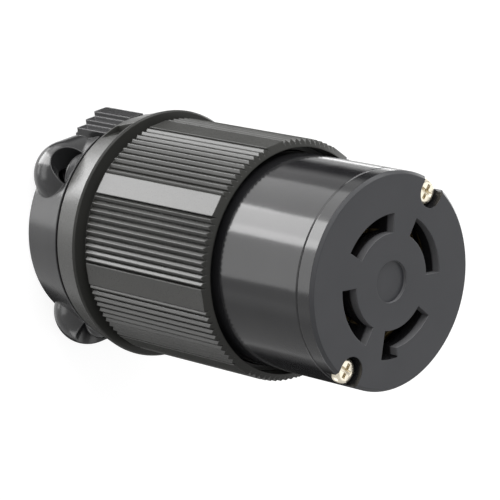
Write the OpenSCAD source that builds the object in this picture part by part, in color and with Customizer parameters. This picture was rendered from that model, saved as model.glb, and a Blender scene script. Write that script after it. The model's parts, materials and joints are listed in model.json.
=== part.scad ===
// Locking cord connector: a round female power connector for a flexible cord.
// It stands on its cord-clamp end. The axis is Z, the rear end is at z = 0 and the
// mating face is at the top. The cord clamp closes along X.

/* [Nose and face] */
// Diameter of the face and of the smooth nose
nose_d = 49; // [46:0.5:52]
// Length of nose that stands out of the grip, face included
nose_l = 30.2; // [27:0.2:34]
// Thickness of the face plate
face_t = 4.6; // [4.2:0.1:6]
// Chamfer round the face
face_chamfer = 0.7; // [0.3:0.1:1.2]
// Bevel on both sides of the seam behind the face plate
seam_bevel = 0.25; // [0.1:0.05:0.5]
// Diameter of the shallow recess in the middle of the face
recess_d = 9.4; // [6:0.2:14]
// Depth of that recess
recess_h = 0.8; // [0.4:0.1:1.4]

/* [Blade slots] */
// Inner radius of the ring of slots
slot_r = 10.9; // [10.6:0.1:12]
// Width of a slot
slot_w = 4.3; // [3:0.1:4.4]
// Arc of each line slot, in degrees
line_arc = 60; // [50:1:62]
// Direction of the middle of the first line slot
line_1_at = 20.2; // [18:0.1:22]
// Direction of the middle of the second line slot
line_2_at = 108; // [105:0.1:110]
// Direction of the middle of the third line slot
line_3_at = 199.8; // [197:0.1:202]
// Arc of the ground slot, in degrees
ground_arc = 62; // [52:1:64]
// Direction of the middle of the ground slot
ground_at = 281.5; // [279:0.1:284]
// Arc of the hook at the end of the ground slot, in degrees
hook_arc = 17; // [10:1:24]
// How far the hook reaches out past the slot
hook_d = 2.1; // [1:0.1:3]

/* [Contacts and terminals] */
// Thickness of a contact leaf
leaf_t = 0.8; // [0.5:0.1:1]
// Distance of a leaf from the edge of its slot
leaf_gap = 0.2; // [0.1:0.05:0.4]
// How far a contact sits below the back of the face plate
leaf_drop = 3; // [2:0.5:6]
// Thickness of the strip that leads to the terminal
tail_t = 1.2; // [0.8:0.1:1.6]
// Width of that strip
tail_w = 8; // [6:0.2:9]
// Height of the wiring pockets
pocket_h = 11.5; // [11.2:0.1:12]
// Width of a wiring pocket
pocket_w = 10.6; // [10.2:0.1:12]
// Thickness of the floor between contacts and wiring pockets
floor_t = 2; // [1.6:0.1:2.4]
// Side of a wire plate
plate_w = 8.4; // [8:0.1:9.4]
// Thickness of a wire plate
plate_t = 1.5; // [1:0.1:1.8]
// Space for a wire under its plate
wire_gap = 2.6; // [2:0.1:3]
// Diameter of a terminal screw's thread
term_d = 4; // [3.5:0.1:4.4]
// Diameter of a terminal screw's head
term_head_d = 7.6; // [6.6:0.1:8.4]
// Height of a terminal screw's head
term_head_h = 2.4; // [1.8:0.1:2.8]

/* [Assembly screws] */
// Distance of the screws in from the edge of the face
screw_inset = 2.55; // [2.5:0.05:3]
// Direction of the first screw, the second is opposite
screw_at = 46.5; // [44:0.5:49]
// Width of the notch round a screw's head
notch_w = 6.8; // [6.4:0.1:7.6]
// Thickness of face plate left under a screw's head
notch_floor = 1.3; // [1.2:0.1:2]
// Diameter of the screw's head
head_d = 6; // [5:0.1:6.2]
// Height of the screw's head
head_h = 1.8; // [1.6:0.1:2.6]
// Diameter of the screw's thread
screw_d = 3.5; // [3:0.1:4]
// Depth of the screw in its threaded insert
engage = 6; // [4:0.5:7]
// Diameter of a threaded insert
insert_d = 5; // [4.6:0.1:5.1]
// Length of a threaded insert
insert_l = 8; // [7.5:0.5:10]
// Diameter of the boss round an insert
boss_d = 8; // [7.4:0.1:8.6]
// Length of that boss
boss_l = 15; // [12:0.5:18]

/* [Grip] */
// Length of the grip from its rear rib ends to its lip
grip_l = 40.2; // [36:0.2:46]
// Width of the gap between nose and lip
lip_gap = 1.35; // [0.8:0.05:1.5]
// Depth of that gap
lip_depth = 4.8; // [2:0.2:8]
// Width of the lip, out to the crests of the ribs
lip_w = 1.85; // [1.8:0.05:3]
// Height of the bevel on the lip
lip_bevel = 1.2; // [0.4:0.1:2]
// Height of a grip rib
rib_h = 1.25; // [0.8:0.05:1.3]
// Height of the sloping top of a rib
rib_top = 0.55; // [0.3:0.05:0.6]
// Width of the valley between two ribs, at the foot of their tops
rib_valley = 0.4; // [0.2:0.05:0.6]
// Number of smooth bands round the grip
band_count = 8; // [6:1:10]
// Direction of the first smooth band
band_at = 1.5; // [0:0.5:44.5]
// Width of a smooth band
band_w = 5.2; // [3:0.1:7]
// Number of ribs between two bands
rib_count = 10; // [6:1:12]

/* [Housing] */
// Width of the groove between grip and flange
groove_w = 2.4; // [1.6:0.1:4]
// Depth of that groove below the crests of the ribs
groove_d = 2.1; // [1.5:0.1:2.6]
// How far the flange stands out past the grip
flange_step = 1.5; // [1:0.1:3]
// Height of the flange
flange_h = 8.3; // [7:0.1:10]
// How much the flange's radius drops towards the rear
flange_taper = 1.85; // [1:0.05:2.2]
// Chamfer on the flange's edges
flange_chamfer = 0.4; // [0.2:0.1:0.8]
// Depth of the windows in the flange's rim
window_d = 3.6; // [3.3:0.1:4]
// Width of those windows
window_w = 5.2; // [4:0.1:6]
// Wall left behind a window
window_rear = 1.3; // [1:0.1:2]
// Wall left in front of a window
window_front = 0.9; // [0.7:0.1:1.4]
// Depth of the nose in the housing
seat_depth = 14.8; // [13:0.2:18]
// Width of the shoulder that the terminal block seats on
seat_w = 1.5; // [1:0.1:2]
// Thickness of the wall at the rear of the wiring space
rear_wall_t = 4.2; // [3.4:0.1:5]
// Diameter of the cord hole in that wall
cord_hole_d = 25; // [23:0.5:26]
// Thickness of the rubber cord seal
seal_t = 2.6; // [1.5:0.1:4]
// Diameter of the hole in the seal
seal_hole_d = 23; // [20:0.5:23]

/* [Cord clamp] */
// Height of the clamp, from the rear end to the flange
clamp_h = 13.9; // [12.6:0.1:16]
// How much the jaws' radius drops towards the rear
jaw_taper = 2.85; // [1:0.05:4]
// Position of the fixed jaw's parting face along X
split_x = -5.6; // [-6.2:0.1:-5]
// Open gap between the two jaws
jaw_gap = 4; // [3:0.1:4.4]
// Gap that is left when the clamp is closed
closed_gap = 0.9; // [0.6:0.1:1.4]
// Diameter of the throat between the jaws
throat_d = 24; // [23:0.5:25]
// Height of the two clamping ribs in the throat
tooth_h = 1; // [0.5:0.1:1.5]
// Width of a clamping rib
tooth_w = 2; // [1:0.1:2.6]
// Distance of the clamping ribs from the jaw's ends
tooth_inset = 1.5; // [0.5:0.1:2.5]
// Distance of the clamp screws from the axis
ear_y = 17; // [16.6:0.1:17.6]
// Radius of a sliding-jaw ear
ear_r = 8; // [7.4:0.1:8.4]
// Length of a sliding-jaw ear from the parting face to the dome's middle
ear_l = 5.4; // [5.2:0.1:6.4]
// Room between an ear and the jaw's rear end
ear_margin = 0.6; // [0.4:0.1:1.2]
// How far the fixed jaw's ears stand out past the screws
block_out = 10.4; // [9.6:0.1:11]
// Length of those ears along X
block_l = 9.7; // [9:0.1:11]
// Height at which those ears start
block_rear = 0.8; // [0.4:0.1:3]
// Number of steps on those ears, from the parting face up
step_count = 2; // [1:1:3]
// Width of a step
step_w = 2.9; // [1.6:0.1:3]
// Height of a step
step_h = 1.2; // [0.6:0.1:1.4]
// Thickness of the collar at the front of the sliding jaw
collar_t = 1.2; // [1:0.1:1.6]
// How far a nut pocket's middle lies in front of its screw
pocket_rise = 5.4; // [5:0.1:5.8]
// Diameter of a clamp screw's thread
clamp_d = 4; // [3:0.1:4.4]
// Diameter of a clamp screw's head
clamp_head_d = 7; // [6:0.1:8]
// Height of a clamp screw's head
clamp_head_h = 2.6; // [2:0.1:3.4]
// Position of the clamp screws' heads along X
clamp_seat_x = 9; // [7:0.2:10]
// Width across the flats of a clamp nut
nut_w = 7; // [6.4:0.1:7.6]
// Thickness of a clamp nut
nut_t = 3.2; // [2.4:0.1:3.6]
// Wall between a nut and the sliding jaw's parting face
nut_wall = 1.8; // [1.4:0.1:2.4]
// Width of a jaw's guide rail
rail_w = 3; // [2:0.1:3.4]
// Height of a jaw's guide rail
rail_h = 1.8; // [1:0.1:2.2]
// Length of a jaw's guide rail
rail_l = 8.5; // [6:0.5:9]
// Wall between the cord hole and a guide groove
rail_wall = 2; // [1.2:0.1:2.4]

/* [Clearances] */
// Gap round pieces that are fixed together
fit = 0.1; // [0.05:0.05:0.2]
// Gap round the nose in its seat
seat_fit = 0.15; // [0.1:0.05:0.25]
// Gap round pieces that slide
slide_fit = 0.3; // [0.2:0.05:0.4]
// Gap between a clamp screw and its nut
thread_fit = 0.05; // [0.03:0.01:0.08]

/* [Hidden] */
$fn = 96;
// A cut runs past the surface that it opens by this much
past = 1;

// Radii, all worked out from the nose
nose_r = nose_d / 2;
lip_r = nose_r + lip_gap;
grip_r = lip_r + lip_w;
root_r = grip_r - rib_h;
groove_r = grip_r - groove_d;
flange_r = grip_r + flange_step;
flange_rear_r = flange_r - flange_taper;
jaw_rear_r = flange_rear_r - jaw_taper;
chamber_r = nose_r - seat_w;
screw_r = nose_r - screw_inset;

// Heights, from the rear end up
z_flange = clamp_h;
z_wall = z_flange + rear_wall_t;
z_groove = z_flange + flange_h;
z_grip = z_groove + groove_w;
z_lip = z_grip + grip_l;
z_seat = z_lip - seat_depth;
z_pocket = z_seat + pocket_h;
z_floor = z_pocket + floor_t;
z_face = z_lip + nose_l;
z_plate = z_face - face_t;
z_notch = z_plate + notch_floor;

// Contacts and terminals, as radii or as places along a terminal's own direction
slot_out = slot_r + slot_w;
leaf_in_r = slot_r - leaf_gap - leaf_t;
leaf_out_r = slot_out + leaf_gap;
contact_r = leaf_out_r + leaf_t;
chamber_gap = 0.6;
arc_margin = 2;
tail_x = contact_r - tail_t - tail_w * tail_w / 8 / contact_r - fit;
plate_x = tail_x + tail_t + wire_gap;
term_head_x = plate_x + plate_t;
term_tip = 1.2;
tail_end = 1;
pocket_x = tail_x - term_tip - tail_end;
z_term = z_seat + pocket_h / 2;
line_at = [line_1_at, line_2_at, line_3_at];

// Grip pattern
sector = 360 / band_count;
band_half = atan(band_w / 2 / grip_r);
rib_pitch = (sector - 2 * band_half) / rib_count;
valley_half = atan(rib_valley / 2 / grip_r);

// Cord clamp
slide_x = split_x - jaw_gap;
travel = jaw_gap - closed_gap;
jaw_top = z_flange - slide_fit;
ear_z = jaw_top / 2;
dome_x = slide_x - ear_l;
nut_x = slide_x - nut_wall - nut_t;
nut_r = nut_w / 2 / cos(30);
pocket_r = nut_r + slide_fit / 2;
screw_tip = 1;
screw_tip_x = nut_x - screw_tip;
tip_room = 0.8;
rail_y = cord_hole_d / 2 + rail_wall + rail_w / 2;
rail_inset = 1;
fixed_rail_x = 5;

function polar(r, a) = [r * cos(a), r * sin(a)];

// One band and the ribs up to the next band, as points of the grip's outline
function band_points(mid) = [
    polar(grip_r, mid - band_half),
    polar(grip_r, mid + band_half),
    for (i = [0 : rib_count - 1]) each [
        polar(root_r, mid + band_half + i * rib_pitch),
        polar(grip_r - rib_top, mid + band_half + i * rib_pitch + valley_half),
        polar(grip_r, mid + band_half + (i + 0.5) * rib_pitch),
        polar(grip_r - rib_top, mid + band_half + (i + 1) * rib_pitch - valley_half)
    ],
    polar(root_r, mid + band_half + rib_count * rib_pitch)
];

// Piece of a ring between two radii, centred on a direction
module ring_sector(r_in, r_out, at, arc, h) {
    rotate([0, 0, at - arc / 2])
        rotate_extrude(angle = arc)
            translate([r_in, 0]) square([r_out - r_in, h]);
}

// Copies on the two sides of the XZ plane
module both_sides() {
    children();
    mirror([0, 1, 0]) children();
}

// Copies at the two assembly screws
module at_screws() {
    for (turn = [0, 180])
        rotate([0, 0, screw_at + turn]) translate([screw_r, 0, 0]) children();
}

// Screw along Z with the underside of its head at z = 0
module cross_screw(thread_d, h_d, h_h, length) {
    bevel = h_h / 4;
    cross_l = h_d * 0.56;
    cross_w = h_d * 0.15;
    cross_h = h_h * 0.55;
    difference() {
        rotate_extrude()
            polygon([
                [0, -length], [thread_d / 2 - bevel, -length],
                [thread_d / 2, bevel - length], [thread_d / 2, 0],
                [h_d / 2, 0], [h_d / 2, h_h - bevel],
                [h_d / 2 - bevel, h_h], [0, h_h]
            ]);
        for (turn = [0, 90])
            rotate([0, 0, turn])
                translate([-cross_l / 2, -cross_w / 2, h_h - cross_h])
                    cube([cross_l, cross_w, cross_h + past]);
    }
}

// Blade openings, from a height upwards
module slot_cut(at, arc, h) {
    ring_sector(slot_r, slot_out, at, arc, h);
}

module hook_cut(h) {
    ring_sector(slot_r, slot_out + hook_d, ground_at - (ground_arc - hook_arc) / 2, hook_arc, h);
}

// Front disc with the blade slots, the recess and the screw notches
module face_plate() {
    color([0.30, 0.31, 0.32])
        difference() {
            rotate_extrude()
                polygon([
                    [0, z_plate], [nose_r - seam_bevel, z_plate],
                    [nose_r, z_plate + seam_bevel], [nose_r, z_face - face_chamfer],
                    [nose_r - face_chamfer, z_face], [0, z_face]
                ]);
            translate([0, 0, z_face - recess_h]) cylinder(d = recess_d, h = recess_h + past);
            translate([0, 0, z_plate - past]) {
                for (at = line_at) slot_cut(at, line_arc, face_t + 2 * past);
                slot_cut(ground_at, ground_arc, face_t + 2 * past);
                hook_cut(face_t + 2 * past);
            }
            at_screws() {
                translate([0, 0, z_notch]) {
                    cylinder(d = notch_w, h = face_t);
                    translate([0, -notch_w / 2, 0]) cube([notch_w, notch_w, face_t]);
                }
                translate([0, 0, z_plate - past]) cylinder(d = screw_d + 2 * fit, h = face_t);
            }
        }
}

// Room in the carrier for one contact
module contact_room(at, arc, out_r) {
    translate([0, 0, z_floor - past])
        ring_sector(
            leaf_in_r - chamber_gap, out_r + chamber_gap, at, arc + arc_margin, z_plate - z_floor + 2 * past
        );
}

// Holes for the assembly screws through a piece of the nose
module screw_holes(z_from, z_to) {
    at_screws()
        translate([0, 0, z_from - past])
            cylinder(d = screw_d + 2 * fit, h = z_to - z_from + 2 * past);
}

// Smooth nose round the contacts
module contact_carrier() {
    color([0.13, 0.13, 0.14])
        difference() {
            rotate_extrude()
                polygon([
                    [0, z_floor], [nose_r, z_floor], [nose_r, z_plate - seam_bevel],
                    [nose_r - seam_bevel, z_plate], [0, z_plate]
                ]);
            for (at = line_at) contact_room(at, line_arc, contact_r);
            contact_room(ground_at, ground_arc, slot_out + hook_d);
            screw_holes(z_floor, z_plate);
        }
}

// Block behind the nose that carries the contacts, with a wiring pocket for each terminal
module terminal_block() {
    color([0.15, 0.15, 0.16])
        difference() {
            translate([0, 0, z_seat]) cylinder(r = nose_r, h = pocket_h + floor_t);
            for (at = [line_1_at, line_2_at, line_3_at, ground_at])
                rotate([0, 0, at]) {
                    translate([pocket_x, -pocket_w / 2, z_seat - past])
                        cube([nose_r, pocket_w, pocket_h + past]);
                    translate([tail_x - fit, -tail_w / 2 - fit, z_pocket - past])
                        cube([tail_t + 2 * fit, tail_w + 2 * fit, floor_t + 2 * past]);
                }
            screw_holes(z_seat, z_floor);
        }
}

// Bent brass contact: two leaves on a bridge, and the strip to its terminal
module contact(at, arc) {
    bridge_t = leaf_t * 1.5;
    leaf_h = z_plate - leaf_drop - z_floor;
    tail_h = z_floor + bridge_t / 2 - z_seat - tail_end;
    color([0.80, 0.62, 0.28])
        difference() {
            union() {
                translate([0, 0, z_floor]) {
                    ring_sector(leaf_in_r, contact_r, at, arc, bridge_t);
                    ring_sector(leaf_in_r, leaf_in_r + leaf_t, at, arc, leaf_h);
                    ring_sector(leaf_out_r, contact_r, at, arc, leaf_h);
                }
                rotate([0, 0, at])
                    translate([tail_x, -tail_w / 2, z_seat + tail_end])
                        cube([tail_t, tail_w, tail_h]);
            }
            rotate([0, 0, at])
                translate([tail_x - past, 0, z_term])
                    rotate([0, 90, 0]) cylinder(d = term_d + 2 * fit, h = tail_t + 2 * past);
        }
}

// Square plate that presses a wire against its strip
module wire_plate(at) {
    color([0.78, 0.76, 0.70])
        rotate([0, 0, at])
            translate([plate_x, 0, z_term])
                difference() {
                    translate([0, -plate_w / 2, -plate_w / 2]) cube([plate_t, plate_w, plate_w]);
                    translate([-past, 0, 0]) rotate([0, 90, 0])
                        cylinder(d = term_d + 4 * fit, h = plate_t + 2 * past);
                }
}

module terminal_screw(at) {
    rotate([0, 0, at])
        translate([term_head_x, 0, z_term])
            rotate([0, 90, 0])
                cross_screw(term_d, term_head_d, term_head_h, term_head_x - tail_x + term_tip);
}

module line_contact_1() contact(line_1_at, line_arc);
module line_contact_2() contact(line_2_at, line_arc);
module line_contact_3() contact(line_3_at, line_arc);
module ground_contact() contact(ground_at, ground_arc);

module line_wire_plate_1() wire_plate(line_1_at);
module line_wire_plate_2() wire_plate(line_2_at);
module line_wire_plate_3() wire_plate(line_3_at);
module ground_wire_plate() wire_plate(ground_at);

module line_terminal_screws() {
    color([0.82, 0.65, 0.30])
        for (at = line_at) terminal_screw(at);
}

module ground_terminal_screw() {
    color([0.20, 0.48, 0.24]) terminal_screw(ground_at);
}

// Two long screws that hold the nose in the housing
module assembly_screws() {
    color([0.86, 0.84, 0.76])
        at_screws()
            translate([0, 0, z_notch])
                cross_screw(screw_d, head_d, head_h, z_notch - z_seat + engage);
}

module threaded_inserts() {
    color([0.80, 0.62, 0.28])
        at_screws()
            translate([0, 0, z_seat - insert_l])
                difference() {
                    cylinder(d = insert_d, h = insert_l);
                    translate([0, 0, -past]) cylinder(d = screw_d + 2 * fit, h = insert_l + 2 * past);
                }
}

// Ribbed sleeve with its bevelled lip
module grip_outside() {
    intersection() {
        translate([0, 0, z_grip])
            linear_extrude(height = grip_l)
                polygon([for (i = [0 : band_count - 1]) each band_points(band_at + i * sector)]);
        rotate_extrude()
            polygon([
                [0, z_grip - past], [flange_r, z_grip - past],
                [flange_r, z_lip - lip_bevel * (flange_r - lip_r) / lip_w],
                [lip_r, z_lip], [0, z_lip]
            ]);
    }
}

// Tapered flange and the groove in front of it
module flange_outside() {
    rotate_extrude()
        polygon([
            [0, z_flange], [flange_rear_r - flange_chamfer, z_flange],
            [flange_rear_r, z_flange + flange_chamfer],
            [flange_r, z_groove - flange_chamfer],
            [flange_r - flange_chamfer, z_groove],
            [groove_r, z_groove], [groove_r, z_grip + past], [0, z_grip + past]
        ]);
}

// Rail on a jaw's front, or with a gap the groove that it runs in
module rail(x_from, x_to, gap) {
    translate([x_from - gap, rail_y - rail_w / 2 - gap, z_flange - slide_fit - past])
        cube([x_to - x_from + 2 * gap, rail_w + 2 * gap, rail_h + past + 2 * gap]);
}

module sliding_rail(gap, reach) {
    rail(slide_x - rail_inset - rail_l, slide_x - rail_inset + reach, gap);
}

module fixed_rail(gap) {
    rail(fixed_rail_x, fixed_rail_x + rail_l, gap);
}

// One moulding: ribbed grip, groove, flange and wiring space
module grip_housing() {
    color([0.17, 0.17, 0.18])
        difference() {
            union() {
                grip_outside();
                flange_outside();
            }
            difference() {
                translate([0, 0, z_wall]) cylinder(r = chamber_r, h = z_seat - z_wall + past);
                at_screws()
                    translate([0, 0, z_seat - boss_l]) cylinder(d = boss_d, h = boss_l + 2 * past);
            }
            translate([0, 0, z_seat]) cylinder(r = nose_r + seat_fit, h = z_lip);
            translate([0, 0, z_lip - lip_depth]) cylinder(r = lip_r, h = lip_depth + past);
            at_screws()
                translate([0, 0, z_seat - boss_l + past])
                    cylinder(d = insert_d + fit, h = boss_l);
            translate([0, 0, z_flange - past]) cylinder(d = cord_hole_d, h = rear_wall_t + 2 * past);
            both_sides() {
                translate([(split_x + slide_x - window_w) / 2, flange_r - window_d, z_flange + window_rear])
                    cube([window_w, flange_r, flange_h - window_rear - window_front]);
                sliding_rail(slide_fit, travel);
                fixed_rail(fit);
            }
        }
}

// Rubber ring that closes the wiring space round the cord
module cord_seal() {
    color([0.09, 0.09, 0.09])
        translate([0, 0, z_wall])
            difference() {
                cylinder(r = chamber_r - fit, h = seal_t);
                translate([0, 0, -past]) cylinder(d = seal_hole_d, h = seal_t + 2 * past);
            }
}

// Tapered ring of which a jaw is one side
module jaw_ring(top) {
    rotate_extrude()
        polygon([
            [0, 0], [jaw_rear_r - flange_chamfer, 0], [jaw_rear_r, flange_chamfer],
            [flange_rear_r, top], [0, top]
        ]);
}

// Throat of a jaw, with two clamping ribs left standing
module throat(top) {
    tooth_r = throat_d / 2 - tooth_h;
    translate([0, 0, -past]) cylinder(r = tooth_r, h = top + 2 * past);
    difference() {
        translate([0, 0, -past]) cylinder(d = throat_d, h = top + 2 * past);
        for (z = [tooth_inset, top - tooth_inset - tooth_w])
            translate([0, 0, z]) cylinder(d = throat_d + past, h = tooth_w);
    }
}

// Jaw that stays on the housing and takes the clamp screws' heads
module fixed_jaw() {
    block_y = ear_y + block_out;
    color([0.16, 0.16, 0.17])
        difference() {
            union() {
                intersection() {
                    union() {
                        jaw_ring(z_flange);
                        intersection() {
                            both_sides()
                                translate([split_x, ear_y - ear_r, block_rear])
                                    cube([block_l, block_out + ear_r, z_flange - block_rear]);
                            cylinder(r = flange_r, h = z_flange);
                        }
                    }
                    translate([split_x, -flange_r, -past])
                        cube([2 * flange_r, 2 * flange_r, z_flange + past]);
                }
                both_sides() fixed_rail(0);
            }
            throat(z_flange);
            both_sides() {
                for (i = [1 : step_count])
                    translate([split_x - past, block_y - i * step_h, -past])
                        cube([(step_count + 1 - i) * step_w + past, flange_r, z_flange + past]);
                translate([split_x - past, ear_y, ear_z]) rotate([0, 90, 0])
                    cylinder(d = clamp_d + 2 * slide_fit, h = 2 * flange_r);
                translate([clamp_seat_x, ear_y, ear_z]) rotate([0, 90, 0])
                    cylinder(d = clamp_head_d + 2 * slide_fit, h = flange_r);
            }
        }
}

// Section of an ear: a disc, cut off flat at the jaw's two ends
module ear_section() {
    intersection() {
        translate([0, ear_z]) circle(r = ear_r);
        translate([-ear_r, ear_margin]) square([2 * ear_r, jaw_top - ear_margin]);
    }
}

// Broad ear along -X from the parting face, with a domed end
module ear() {
    translate([dome_x, ear_y, 0]) {
        rotate([90, 0, 90]) linear_extrude(height = ear_l) ear_section();
        rotate([0, 0, 90])
            rotate_extrude(angle = 180)
                intersection() {
                    ear_section();
                    square([ear_r, jaw_top]);
                }
    }
}

// Pocket that shows a nut, open to the side of the ear in the direction of lean
module nut_pocket() {
    lean = 118;
    pocket_z = ear_z + pocket_rise;
    depth = 2;
    intersection() {
        translate([dome_x - past, ear_y, pocket_z])
            rotate([0, 0, lean])
                translate([-depth, 0, 0]) rotate([0, 90, 0]) cylinder(r = pocket_r, h = flange_r);
        translate([-2 * flange_r, 0, -past])
            cube([2 * flange_r, 2 * flange_r, jaw_top - collar_t + past]);
    }
    translate([dome_x, ear_y, ear_z])
        rotate([0, 90, 0]) cylinder(r = nut_r + fit, h = nut_x + nut_t + fit - dome_x, $fn = 6);
}

// Jaw that the clamp screws draw in towards the fixed jaw
module sliding_jaw() {
    color([0.16, 0.16, 0.17])
        difference() {
            union() {
                intersection() {
                    jaw_ring(jaw_top);
                    translate([slide_x - 2 * flange_r, -flange_r, -past])
                        cube([2 * flange_r, 2 * flange_r, jaw_top + past]);
                }
                both_sides() {
                    ear();
                    sliding_rail(0, 0);
                }
            }
            translate([-travel, 0, 0]) throat(jaw_top);
            both_sides() {
                nut_pocket();
                translate([screw_tip_x - travel - tip_room, ear_y, ear_z]) rotate([0, 90, 0])
                    cylinder(d = clamp_d + 2 * slide_fit, h = flange_r);
            }
        }
}

module clamp_screws() {
    color([0.70, 0.70, 0.70])
        both_sides()
            translate([clamp_seat_x, ear_y, ear_z])
                rotate([0, 90, 0])
                    cross_screw(clamp_d, clamp_head_d, clamp_head_h, clamp_seat_x - screw_tip_x);
}

module clamp_nuts() {
    color([0.74, 0.73, 0.70])
        both_sides()
            translate([nut_x, ear_y, ear_z])
                rotate([0, 90, 0])
                    difference() {
                        cylinder(r = nut_r, h = nut_t, $fn = 6);
                        translate([0, 0, -past])
                            cylinder(d = clamp_d + 2 * thread_fit, h = nut_t + 2 * past);
                    }
}

face_plate();
contact_carrier();
terminal_block();
line_contact_1();
line_contact_2();
line_contact_3();
ground_contact();
line_wire_plate_1();
line_wire_plate_2();
line_wire_plate_3();
ground_wire_plate();
line_terminal_screws();
ground_terminal_screw();
assembly_screws();
threaded_inserts();
grip_housing();
cord_seal();
fixed_jaw();
sliding_jaw();
clamp_screws();
clamp_nuts();
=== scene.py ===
"""Locking cord connector: materials, screws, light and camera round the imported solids."""

import json
import math

import bmesh
import bpy
from mathutils import Matrix, Vector


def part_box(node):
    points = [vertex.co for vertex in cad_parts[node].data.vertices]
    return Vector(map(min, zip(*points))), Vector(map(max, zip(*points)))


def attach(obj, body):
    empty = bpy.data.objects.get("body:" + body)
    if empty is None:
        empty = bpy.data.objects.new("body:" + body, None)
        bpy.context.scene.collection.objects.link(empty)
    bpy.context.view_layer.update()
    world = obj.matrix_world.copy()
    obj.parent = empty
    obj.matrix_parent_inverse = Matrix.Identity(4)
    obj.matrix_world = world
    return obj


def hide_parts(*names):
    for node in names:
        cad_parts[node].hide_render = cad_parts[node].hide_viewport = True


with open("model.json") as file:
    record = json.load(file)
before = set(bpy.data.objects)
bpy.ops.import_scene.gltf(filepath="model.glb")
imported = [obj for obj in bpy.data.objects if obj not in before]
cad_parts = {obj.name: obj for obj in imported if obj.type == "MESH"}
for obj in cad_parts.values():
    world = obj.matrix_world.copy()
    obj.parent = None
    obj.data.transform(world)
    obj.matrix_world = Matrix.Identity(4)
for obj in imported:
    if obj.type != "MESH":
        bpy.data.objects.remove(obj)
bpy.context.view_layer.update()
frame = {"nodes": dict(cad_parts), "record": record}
nodes = frame["nodes"]
scene = bpy.context.scene
MM = 0.001


# Node helpers

NOISE_MIDDLE = (0.3, 0.7)       # where most of a noise's values lie
FRONT_LEAN = (0.3, 0.8)         # Z of a normal from a side to the front
BEVEL_SAMPLES = 8

MATERIALS = {}


def new_tree(owner, output):
    """Empty node tree of a material or world, with the surface socket of its output."""
    owner.use_nodes = True
    tree = owner.node_tree
    tree.nodes.clear()
    return tree, tree.nodes.new(output).inputs["Surface"]


def new_material(name):
    """Adds a material with one principled shader."""
    mat = bpy.data.materials.new(name)
    MATERIALS[name] = mat
    tree, surface = new_tree(mat, "ShaderNodeOutputMaterial")
    bsdf = tree.nodes.new("ShaderNodeBsdfPrincipled")
    tree.links.new(bsdf.outputs["BSDF"], surface)
    return tree, bsdf


def feed(tree, socket, value):
    """Links a socket to a node's output, or sets it to a plain value."""
    if isinstance(value, bpy.types.NodeSocket):
        tree.links.new(value, socket)
    else:
        socket.default_value = value


def calculate(tree, operation, first, second=0.0, clamp=False):
    """Result of a math node on two outputs or numbers."""
    node = tree.nodes.new("ShaderNodeMath")
    node.operation = operation
    node.use_clamp = clamp
    feed(tree, node.inputs[0], first)
    feed(tree, node.inputs[1], second)
    return node.outputs["Value"]


def remap(tree, value, from_low, from_high, low=0.0, high=1.0):
    """Maps one range of a value onto another and stops at its ends."""
    node = tree.nodes.new("ShaderNodeMapRange")
    node.inputs["From Min"].default_value = from_low
    node.inputs["From Max"].default_value = from_high
    node.inputs["To Min"].default_value = low
    node.inputs["To Max"].default_value = high
    tree.links.new(value, node.inputs["Value"])
    return node.outputs["Result"]


def mix(tree, kind, factor, first, second):
    """Mixes two numbers (FLOAT) or colours (RGBA), each of them an output or a plain value."""
    node = tree.nodes.new("ShaderNodeMix")
    node.data_type = kind
    feed(tree, node.inputs["Factor"], factor)
    feed(tree, node.inputs["A"], first)
    feed(tree, node.inputs["B"], second)
    return node.outputs["Result"]


def tint(tree, factor, tones):
    """Colour between a dark and a light tone."""
    dark, light = tones
    return mix(tree, "RGBA", factor, (*dark, 1), (*light, 1))


def noise(tree, scale, detail, stretch=(1, 1, 1)):
    """A noise texture in object space; scale counts per metre."""
    coord = tree.nodes.new("ShaderNodeTexCoord")
    place = tree.nodes.new("ShaderNodeMapping")
    place.inputs["Scale"].default_value = stretch
    tex = tree.nodes.new("ShaderNodeTexNoise")
    tex.inputs["Scale"].default_value = scale
    tex.inputs["Detail"].default_value = detail
    tree.links.new(coord.outputs["Object"], place.inputs["Vector"])
    tree.links.new(place.outputs["Vector"], tex.inputs["Vector"])
    return tex.outputs["Fac"]


def spread(tree, value, low, high):
    """Maps a noise's middle range onto low to high."""
    return remap(tree, value, *NOISE_MIDDLE, low, high)


def soft_edges(tree, radius):
    """Normals of rounded edges, as every moulded or stamped piece has them."""
    bevel = tree.nodes.new("ShaderNodeBevel")
    bevel.samples = BEVEL_SAMPLES
    bevel.inputs["Radius"].default_value = radius
    return bevel.outputs["Normal"]


def bump(tree, height, distance, normal):
    """Normals that a height adds to other normals."""
    node = tree.nodes.new("ShaderNodeBump")
    node.inputs["Distance"].default_value = distance
    tree.links.new(height, node.inputs["Height"])
    tree.links.new(normal, node.inputs["Normal"])
    return node.outputs["Normal"]


def front_facing(tree, coord):
    """0 where a surface faces sideways, 1 where it faces the mating end."""
    normal = tree.nodes.new("ShaderNodeSeparateXYZ")
    tree.links.new(coord.outputs["Normal"], normal.inputs["Vector"])
    return remap(tree, normal.outputs["Z"], *FRONT_LEAN)


# Materials

WAVES = 70                  # slow unevenness of moulded walls, per metre
PLASTIC_DETAIL = 2
METAL_DETAIL = 4
PLAIN_SHINE = 0.5           # specular level of plain plastic
FACE_SHINE = 0.3            # specular level of the face's grained front
FACE_GRAIN = 6000           # per metre
FACE_GRAIN_DEPTH = 0.02 * MM
SLOT_RIM = 17 * MM          # all slots lie inside this radius
# painted light on the slots' walls reaches down to this height
SLOT_WALL_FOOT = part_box("face_plate")[1][2] - 2 * MM
SLOT_WALL_FADE = 0.3 * MM


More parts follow.
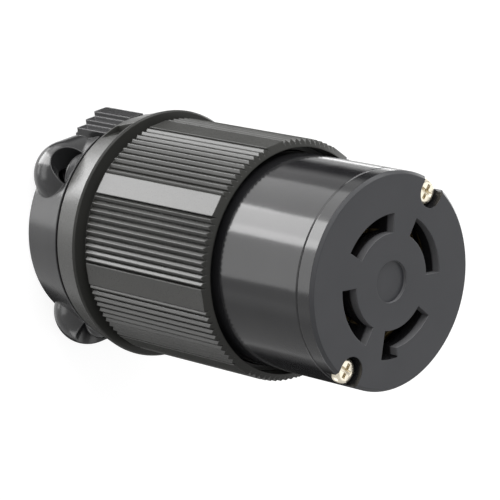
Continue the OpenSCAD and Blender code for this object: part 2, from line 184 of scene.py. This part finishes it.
def plastic(name, tones, rough, grain, grain_depth, wave_depth, edge, front_shine=None):
    """Moulded plastic: fine grain, slow waviness, rounded edges and uneven gloss."""
    tree, bsdf = new_material(name)
    fine = noise(tree, grain, PLASTIC_DETAIL)
    slow = noise(tree, WAVES, PLASTIC_DETAIL)
    tree.links.new(tint(tree, spread(tree, slow, 0, 1), tones), bsdf.inputs["Base Color"])
    tree.links.new(spread(tree, fine, *rough), bsdf.inputs["Roughness"])
    if front_shine is not None:
        front = front_facing(tree, tree.nodes.new("ShaderNodeTexCoord"))
        shine = mix(tree, "FLOAT", front, PLAIN_SHINE, front_shine)
        tree.links.new(shine, bsdf.inputs["Specular IOR Level"])
    waved = bump(tree, slow, wave_depth, soft_edges(tree, edge))
    tree.links.new(bump(tree, fine, grain_depth, waved), bsdf.inputs["Normal"])


def slot_walls(tree, coord, front):
    """1 on the walls of slots and recess near the front, where the face plate gets painted light, 0 on the
    front, round the rim and deeper.
    """
    flat = tree.nodes.new("ShaderNodeVectorMath")
    flat.operation = "MULTIPLY"
    flat.inputs[1].default_value = (1, 1, 0)
    tree.links.new(coord.outputs["Object"], flat.inputs[0])
    radius = tree.nodes.new("ShaderNodeVectorMath")
    radius.operation = "LENGTH"
    tree.links.new(flat.outputs["Vector"], radius.inputs[0])
    inside = calculate(tree, "LESS_THAN", radius.outputs["Value"], SLOT_RIM)
    place = tree.nodes.new("ShaderNodeSeparateXYZ")
    tree.links.new(coord.outputs["Object"], place.inputs["Vector"])
    shallow = remap(tree, place.outputs["Z"],
                    SLOT_WALL_FOOT - SLOT_WALL_FADE, SLOT_WALL_FOOT + SLOT_WALL_FADE)
    # shallow inner surfaces, which get the painted light and the front's grain
    painted_light_wall = calculate(tree, "MULTIPLY", inside, shallow)
    return calculate(tree, "SUBTRACT", painted_light_wall, front, clamp=True)


def face_plastic(name, side, front, painted_light_wall, side_rough, front_rough, edge):
    """The face plate: polished round its rim, finely grained on its front, and paler on its slots' walls,
    a painted light that stands in for light falling on them.
    """
    tree, bsdf = new_material(name)
    fine = noise(tree, FACE_GRAIN, PLASTIC_DETAIL)
    slow = spread(tree, noise(tree, WAVES, PLASTIC_DETAIL), 0, 1)
    coord = tree.nodes.new("ShaderNodeTexCoord")
    facing = front_facing(tree, coord)
    walls = slot_walls(tree, coord, facing)
    grained = calculate(tree, "MAXIMUM", facing, walls)
    tone = mix(tree, "RGBA", facing, tint(tree, slow, side), tint(tree, slow, front))
    # painted light: walls of slots and recess near the front get a paler tone in place of the light
    # falling on them
    tone = mix(tree, "RGBA", walls, tone, tint(tree, slow, painted_light_wall))
    rough = mix(tree, "FLOAT", grained, spread(tree, fine, *side_rough), spread(tree, fine, *front_rough))
    shine = mix(tree, "FLOAT", grained, PLAIN_SHINE, FACE_SHINE)
    grain = calculate(tree, "MULTIPLY", fine, grained)
    normal = bump(tree, grain, FACE_GRAIN_DEPTH, soft_edges(tree, edge))
    tree.links.new(tone, bsdf.inputs["Base Color"])
    tree.links.new(rough, bsdf.inputs["Roughness"])
    tree.links.new(shine, bsdf.inputs["Specular IOR Level"])
    tree.links.new(normal, bsdf.inputs["Normal"])


def metal(name, tones, rough, grain, grain_depth, edge, stretch=(1, 1, 1)):
    """Metal with a fine grain, uneven gloss and rounded edges."""
    tree, bsdf = new_material(name)
    bsdf.inputs["Metallic"].default_value = 1.0
    fine = noise(tree, grain, METAL_DETAIL, stretch)
    tree.links.new(tint(tree, spread(tree, fine, 0, 1), tones), bsdf.inputs["Base Color"])
    tree.links.new(spread(tree, fine, *rough), bsdf.inputs["Roughness"])
    tree.links.new(bump(tree, fine, grain_depth, soft_edges(tree, edge)), bsdf.inputs["Normal"])


face_plastic("face_plastic",
             side=((0.011, 0.011, 0.012), (0.015, 0.015, 0.016)),
             front=((0.035, 0.036, 0.040), (0.042, 0.043, 0.047)),
             # painted light: the paler tone of the slots' walls
             painted_light_wall=((0.120, 0.120, 0.125), (0.140, 0.140, 0.145)),
             side_rough=(0.12, 0.18), front_rough=(0.40, 0.50), edge=0.3 * MM)
plastic("nose_plastic", ((0.010, 0.010, 0.011), (0.014, 0.014, 0.015)), rough=(0.10, 0.16),
        grain=2500, grain_depth=0.002 * MM, wave_depth=0.07 * MM, edge=0.25 * MM)
plastic("grip_plastic", ((0.031, 0.031, 0.029), (0.040, 0.040, 0.037)), rough=(0.26, 0.34),
        grain=4000, grain_depth=0.005 * MM, wave_depth=0.02 * MM, edge=0.35 * MM, front_shine=0.1)
plastic("jaw_plastic", ((0.016, 0.016, 0.017), (0.023, 0.023, 0.024)), rough=(0.16, 0.24),
        grain=4000, grain_depth=0.004 * MM, wave_depth=0.03 * MM, edge=0.5 * MM)
plastic("seal_rubber", ((0.010, 0.010, 0.010), (0.016, 0.016, 0.016)), rough=(0.60, 0.75),
        grain=5000, grain_depth=0.02 * MM, wave_depth=0.02 * MM, edge=0.3 * MM)
metal("contact_brass", ((0.36, 0.25, 0.10), (0.50, 0.37, 0.17)), rough=(0.28, 0.42),
      grain=900, grain_depth=0.01 * MM, edge=0.15 * MM, stretch=(1, 1, 0.2))
metal("terminal_brass", ((0.66, 0.48, 0.20), (0.78, 0.60, 0.29)), rough=(0.25, 0.38),
      grain=1500, grain_depth=0.01 * MM, edge=0.2 * MM)
metal("ground_green", ((0.03, 0.17, 0.05), (0.06, 0.27, 0.09)), rough=(0.30, 0.42),
      grain=1500, grain_depth=0.01 * MM, edge=0.2 * MM)
metal("wire_plate", ((0.52, 0.50, 0.46), (0.66, 0.64, 0.60)), rough=(0.30, 0.45),
      grain=1200, grain_depth=0.01 * MM, edge=0.15 * MM)
metal("screw_nickel", ((0.66, 0.60, 0.48), (0.80, 0.75, 0.63)), rough=(0.22, 0.34),
      grain=1800, grain_depth=0.008 * MM, edge=0.2 * MM)
metal("clamp_steel", ((0.46, 0.46, 0.45), (0.60, 0.60, 0.59)), rough=(0.28, 0.40),
      grain=1800, grain_depth=0.008 * MM, edge=0.2 * MM)

for row in frame["record"]["subparts"]:
    data = nodes[row["node"]].data
    data.materials.clear()
    data.materials.append(MATERIALS[row["material_slot"]])


# Screws with cut threads, domed heads and tapered cross recesses

TURN = 24                       # points round a screw
PITCH = 0.8 * MM
ROWS_PER_PITCH = 6
THREAD_DEPTH = 0.35 * MM
TIP_BEVEL = 0.5 * MM
TIP_SHARE = 0.7                 # of the thread's radius
DOME_STEPS = 5
DOME_FLAT = 0.68                # of the head's radius
DOME_FOOT = 0.4                 # of the head's height
RECESS_MOUTH = (0.58, 0.15)     # reach and half width of the cross, of the head's radius
RECESS_FLOOR = (0.36, 0.10)
RECESS_FLOOR_RISE = 0.42        # of the head's height
SHARP_EDGE = math.radians(35)


def circle(bm, radius_at, height):
    """Ring of points round Z; radius_at gives the radius in each direction."""
    ring = []
    for i in range(TURN):
        angle = math.tau * i / TURN
        radius = radius_at(angle)
        ring.append(bm.verts.new((radius * math.cos(angle), radius * math.sin(angle), height)))
    return ring


def bridge(bm, low, high):
    """Wall between two rings of points."""
    for i in range(len(low)):
        j = (i + 1) % len(low)
        bm.faces.new((low[i], low[j], high[j], high[i]))


def thread_radius(crest, height, foot, neck):
    """Radius of a thread at a height, by direction; the thread runs out at its foot and neck."""
    room = min(height - foot, neck - height) / PITCH
    depth = THREAD_DEPTH * min(1, max(0, room))

    def at(angle):
        phase = (height / PITCH - angle / math.tau) % 1
        return crest - depth * abs(2 * phase - 1)
    return at


def cross_loop(bm, head_r, shares, height):
    """Corner points of a cross, in order round it."""
    reach, half_width = (head_r * share for share in shares)
    loop = []
    for i in range(4):
        turn = Matrix.Rotation(math.pi / 2 * i, 3, "Z")
        for x, y in ((reach, -half_width), (reach, half_width), (half_width, half_width)):
            loop.append(bm.verts.new(turn @ Vector((x, y, height))))
    return loop


def screw_head(bm, neck, head_r, head_h):
    """Domed head on a ring of points, with a tapered cross recess."""
    flat_r = DOME_FLAT * head_r
    foot_h = DOME_FOOT * head_h
    ring = circle(bm, lambda angle: head_r, 0)
    bridge(bm, neck, ring)
    for step in range(DOME_STEPS + 1):
        rise = math.pi / 2 * step / DOME_STEPS
        radius = flat_r + (head_r - flat_r) * math.cos(rise)
        upper = circle(bm, lambda angle: radius, foot_h + (head_h - foot_h) * math.sin(rise))
        bridge(bm, ring, upper)
        ring = upper
    mouth = cross_loop(bm, head_r, RECESS_MOUTH, head_h)
    floor = cross_loop(bm, head_r, RECESS_FLOOR, RECESS_FLOOR_RISE * head_h)
    rim = [bm.edges.get((ring[i - 1], ring[i])) for i in range(TURN)]
    rim += [bm.edges.new((mouth[i - 1], mouth[i])) for i in range(len(mouth))]
    bmesh.ops.triangle_fill(bm, use_beauty=True, edges=rim)
    bridge(bm, floor, mouth)
    bm.faces.new(floor)


def screw(bm, crest, head_r, head_h, length, threaded):
    """Screw along Z: its head stands on z = 0 and its thread starts at the tip."""
    foot = TIP_BEVEL - length
    neck = threaded - length
    ring = circle(bm, lambda angle: TIP_SHARE * crest, -length)
    bm.faces.new(reversed(ring))
    rows = round((neck - foot) / PITCH * ROWS_PER_PITCH)
    for row in range(rows + 1):
        height = foot + (neck - foot) * row / rows
        upper = circle(bm, thread_radius(crest, height, foot, neck), height)
        bridge(bm, ring, upper)
        ring = upper
    if neck < 0:
        upper = circle(bm, lambda angle: crest, 0)
        bridge(bm, ring, upper)
        ring = upper
    screw_head(bm, ring, head_r, head_h)


def opposite_boxes(node, axis):
    """Boxes of a node's two screws, which lie opposite each other."""
    points = [vertex.co for vertex in nodes[node].data.vertices]
    low, high = (Vector(corner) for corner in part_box(node))
    middle = (low + high) / 2
    side = points[0] - middle
    side -= side.dot(axis) * axis
    groups = ([], [])
    for point in points:
        groups[(point - middle).dot(side) < 0].append(point)
    return [(Vector(map(min, zip(*group))), Vector(map(max, zip(*group)))) for group in groups]


def screw_pair(name, node, axis, crest, head_h, threaded, slot):
    """Both screws of a node, made in its place from the boxes of its solids."""
    bm = bmesh.new()
    for low, high in opposite_boxes(node, axis):
        middle = (low + high) / 2
        size = high - low
        span = size.dot(axis)
        head_r = max(size - span * axis) / 2
        length = span - head_h
        one = bmesh.new()
        screw(one, crest, head_r, head_h, length, min(threaded, length))
        seat = Matrix.Translation(middle + axis * (span / 2 - head_h))
        lean = axis.to_track_quat("Z", "Y").to_matrix().to_4x4()
        roll = Matrix.Rotation(math.atan2(middle.y, middle.x), 4, "Z")
        one.transform(seat @ lean @ roll)
        made = bpy.data.meshes.new(name)
        one.to_mesh(made)
        one.free()
        bm.from_mesh(made)
        bpy.data.meshes.remove(made)
    bmesh.ops.recalc_face_normals(bm, faces=bm.faces)
    mesh = bpy.data.meshes.new(name)
    bm.to_mesh(mesh)
    bm.free()
    mesh.shade_smooth()
    mesh.set_sharp_from_angle(angle=SHARP_EDGE)
    mesh.materials.append(MATERIALS[slot])
    pair = bpy.data.objects.new(name, mesh)
    scene.collection.objects.link(pair)
    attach(pair, "housing")
    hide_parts(node)


screw_pair("assembly_screw_pair", "assembly_screws", axis=Vector((0, 0, 1)),
           crest=1.75 * MM, head_h=1.8 * MM, threaded=9 * MM, slot="screw_nickel")
screw_pair("clamp_screw_pair", "clamp_screws", axis=Vector((1, 0, 0)),
           crest=2 * MM, head_h=2.6 * MM, threaded=16 * MM, slot="clamp_steel")


# Floor and world

FLOOR_RADIUS = 1.2
FLOOR_CORNERS = 128
FLOOR_DROP = 0.05 * MM
FLOOR_GREY = 0.8        # of the paper that lights the object
FLOOR_FAINT = 0.3       # of the paper that the camera sees, which keeps the shadow
FLOOR_GLOW = 0.85       # lifts that paper to white
WORLD_LEVEL = 0.45


def ray_is_shown(tree):
    """1 for camera, mirror and glass rays."""
    path = tree.nodes.new("ShaderNodeLightPath")
    direct = calculate(tree, "MAXIMUM", path.outputs["Is Camera Ray"], path.outputs["Is Glossy Ray"])
    return calculate(tree, "MAXIMUM", direct, path.outputs["Is Transmission Ray"])


def show_instead(tree, surface, unseen, shown):
    """Gives the surface one shader for light and another for the rays that show it."""
    choice = tree.nodes.new("ShaderNodeMixShader")
    tree.links.new(ray_is_shown(tree), choice.inputs[0])
    tree.links.new(unseen.outputs[0], choice.inputs[1])
    tree.links.new(shown.outputs[0], choice.inputs[2])
    tree.links.new(choice.outputs[0], surface)


def paper(tree, grey):
    """Matt shader of one grey."""
    shader = tree.nodes.new("ShaderNodeBsdfDiffuse")
    shader.inputs["Color"].default_value = (grey, grey, grey, 1)
    return shader


def make_floor():
    bpy.ops.mesh.primitive_circle_add(vertices=FLOOR_CORNERS, radius=FLOOR_RADIUS, fill_type="NGON",
                                      location=(0, 0, -FLOOR_DROP))
    floor = bpy.context.object
    floor.name = "floor"
    floor.visible_glossy = False
    floor.visible_shadow = False
    mat = bpy.data.materials.new("floor_paper")
    tree, surface = new_tree(mat, "ShaderNodeOutputMaterial")
    glow = tree.nodes.new("ShaderNodeEmission")
    glow.inputs["Strength"].default_value = FLOOR_GLOW
    white = tree.nodes.new("ShaderNodeAddShader")
    tree.links.new(paper(tree, FLOOR_FAINT).outputs[0], white.inputs[0])
    tree.links.new(glow.outputs[0], white.inputs[1])
    show_instead(tree, surface, paper(tree, FLOOR_GREY), white)
    floor.data.materials.append(mat)


def make_world():
    world = bpy.data.worlds.new("studio")
    scene.world = world
    tree, surface = new_tree(world, "ShaderNodeOutputWorld")
    soft = tree.nodes.new("ShaderNodeBackground")
    soft.inputs["Strength"].default_value = WORLD_LEVEL
    white = tree.nodes.new("ShaderNodeBackground")
    white.inputs["Strength"].default_value = 1.0
    show_instead(tree, surface, soft, white)


make_floor()
make_world()


# Lamps and cards, placed by clock angle round the axis and by how far they lie along it

CLOCK_TOP = 72.5                        # angle of clock 0 round Z, from X, in degrees
STUDIO_MIDDLE = Vector((0, 0, 0.05))


def clock_direction(clock, along):
    """Unit vector: clock counts clockwise in degrees as seen facing the mating face, along is its Z."""
    angle = math.radians(CLOCK_TOP - clock)
    across = math.sqrt(1 - along * along)
    return Vector((across * math.cos(angle), across * math.sin(angle), along))


def aim(obj, target, direction, distance, roll=0.0):
    """Puts an object at a distance from a target, facing it, and turns it by roll degrees."""
    scene.collection.objects.link(obj)
    turn = Matrix.Rotation(math.radians(roll), 4, "Z")
    facing = direction.to_track_quat("Z", "Y").to_matrix().to_4x4()
    obj.matrix_world = Matrix.Translation(target + direction * distance) @ facing @ turn


def softbox(name, clock, along, distance, width, height, level, roll=0.0):
    """Area lamp; level is its brightness as a surface."""
    lamp = bpy.data.lights.new(name, "AREA")
    lamp.shape = "RECTANGLE"
    lamp.size = width
    lamp.size_y = height
    lamp.energy = level * math.pi * width * height
    obj = bpy.data.objects.new(name, lamp)
    aim(obj, STUDIO_MIDDLE, clock_direction(clock, along), distance, roll)
    obj.visible_camera = False


def card_material(name, core, width, tone):
    """Even tone across the core, which fades to white at the card's sides."""
    mat = bpy.data.materials.new(name)
    tree, surface = new_tree(mat, "ShaderNodeOutputMaterial")
    coord = tree.nodes.new("ShaderNodeTexCoord")
    place = tree.nodes.new("ShaderNodeSeparateXYZ")
    tree.links.new(coord.outputs["Object"], place.inputs["Vector"])
    aside = calculate(tree, "ABSOLUTE", place.outputs["X"])
    glow = tree.nodes.new("ShaderNodeEmission")
    tree.links.new(remap(tree, aside, core / 2, width / 2, tone), glow.inputs["Strength"])
    tree.links.new(glow.outputs[0], surface)
    return mat


def dark_card(name, clock, along, distance, width, height, core, tone):
    """Studio flag that only reflections see."""
    x, y = width / 2, height / 2
    mesh = bpy.data.meshes.new(name)
    mesh.from_pydata([(-x, -y, 0), (x, -y, 0), (x, y, 0), (-x, y, 0)], [], [(0, 1, 2, 3)])
    mesh.materials.append(card_material(name, core, width, tone))
    obj = bpy.data.objects.new(name, mesh)
    aim(obj, STUDIO_MIDDLE, clock_direction(clock, along), distance)
    obj.visible_camera = False
    obj.visible_diffuse = False
    obj.visible_shadow = False


softbox("key_strip", clock=313, along=-0.76, distance=1.2, width=0.46, height=1.4, level=7.4, roll=-20)
softbox("key_wing_low", clock=276, along=-0.676, distance=1.25, width=0.9, height=0.5, level=1.9)
softbox("key_wing_high", clock=345, along=-0.676, distance=1.25, width=0.7, height=0.5, level=1.7)
softbox("flange_wing_low", clock=272, along=-0.94, distance=1.2, width=0.3, height=0.2, level=2.0)
softbox("flange_wing_high", clock=14, along=-0.885, distance=1.2, width=0.3, height=0.2, level=2.0)
softbox("top_panel", clock=335, along=0.4, distance=1.2, width=0.9, height=0.9, level=3.5)
softbox("front_panel", clock=99, along=0.676, distance=1.4, width=1.0, height=1.0, level=0.8)
softbox("fill_panel", clock=285, along=0.75, distance=1.5, width=1.2, height=1.2, level=0.9)
softbox("rim_panel", clock=20, along=0.33, distance=1.2, width=0.5, height=0.5, level=5.0)
softbox("back_panel", clock=72, along=-0.2, distance=0.8, width=0.5, height=0.7, level=2.5)
softbox("back_panel_low", clock=80, along=-0.66, distance=1.2, width=0.36, height=0.5, level=2.0)
softbox("left_panel", clock=190, along=-0.2, distance=0.8, width=0.3, height=0.65, level=1.8)
dark_card("low_card", clock=130, along=-0.62, distance=0.9, width=1.6, height=0.9, core=0.55, tone=0.02)
dark_card("high_card", clock=39.5, along=-0.62, distance=0.9, width=0.44, height=0.9, core=0.16, tone=0.02)
dark_card("left_card", clock=197, along=-0.8, distance=0.95, width=0.9, height=0.7, core=0.5, tone=0.6)


# Camera at the photo's viewing angle

VIEW_CLOCK = 278.729
VIEW_ALONG = 0.71051
VIEW_ROLL = 102.195
VIEW_DISTANCE = 0.6855
VIEW_TARGET = Vector((0.03, 0.31, 50.15)) * MM
VIEW_CLIP = (0.01, 20)
SENSOR_WIDTH = 36
LENS = 216


def make_camera():
    cam = bpy.data.cameras.new("photo_camera")
    cam.sensor_width = SENSOR_WIDTH
    cam.lens = LENS
    cam.clip_start, cam.clip_end = VIEW_CLIP
    obj = bpy.data.objects.new("photo_camera", cam)
    aim(obj, VIEW_TARGET, clock_direction(VIEW_CLOCK, VIEW_ALONG), VIEW_DISTANCE, VIEW_ROLL)
    scene.camera = obj


make_camera()
scene.view_settings.view_transform = "Standard"
